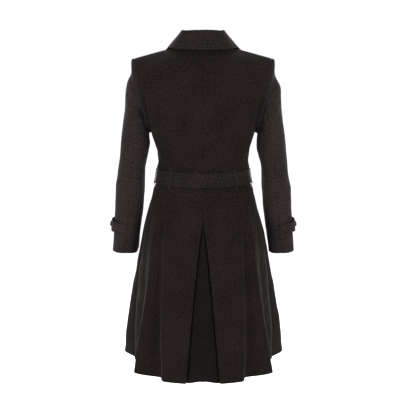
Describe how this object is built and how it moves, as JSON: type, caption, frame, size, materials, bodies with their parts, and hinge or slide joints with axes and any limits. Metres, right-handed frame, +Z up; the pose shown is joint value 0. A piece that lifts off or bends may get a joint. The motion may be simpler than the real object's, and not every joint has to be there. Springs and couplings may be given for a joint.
{
  "type": "double-breasted coat",
  "caption": "Fitted knee-length double-breasted wool coat, belted, filled out as worn: turn-down collar, tabbed cuffs and an inverted centre back pleat.",
  "frame": {"origin": "middle of the neck at the level of the shoulder line, where the wearer holds the coat up", "axes": "+Z up towards the collar, +Y out of the coat's back, +X towards the wearer's left sleeve"},
  "size_m": [0.5602, 0.4157, 0.9812],
  "materials": {
    "wool": "napped wool",
    "wool_lining_side": "napped wool in the pleat",
    "horn": "satin"
  },
  "bodies": {
    "root": {"back_left": "wool", "back_right": "wool", "side_back_left": "wool", "side_back_right": "wool", "pleat_underlay": "wool_lining_side", "front_left": "wool", "front_right": "wool", "upper_sleeve_left": "wool", "upper_sleeve_right": "wool", "under_sleeve_left": "wool", "under_sleeve_right": "wool", "collar": "wool", "lapel_left": "wool", "lapel_right": "wool", "belt": "wool", "belt_loop_back_left": "wool", "belt_loop_back_right": "wool", "belt_loop_side_left": "wool", "belt_loop_side_right": "wool", "belt_buckle": "horn", "front_button_1": "horn", "front_button_2": "horn", "front_button_3": "horn", "front_button_4": "horn", "front_button_5": "horn", "front_button_6": "horn", "cuff_tab_left": "wool", "cuff_tab_right": "wool", "cuff_button_left": "horn", "cuff_button_right": "horn"}
  },
  "joints": []
}
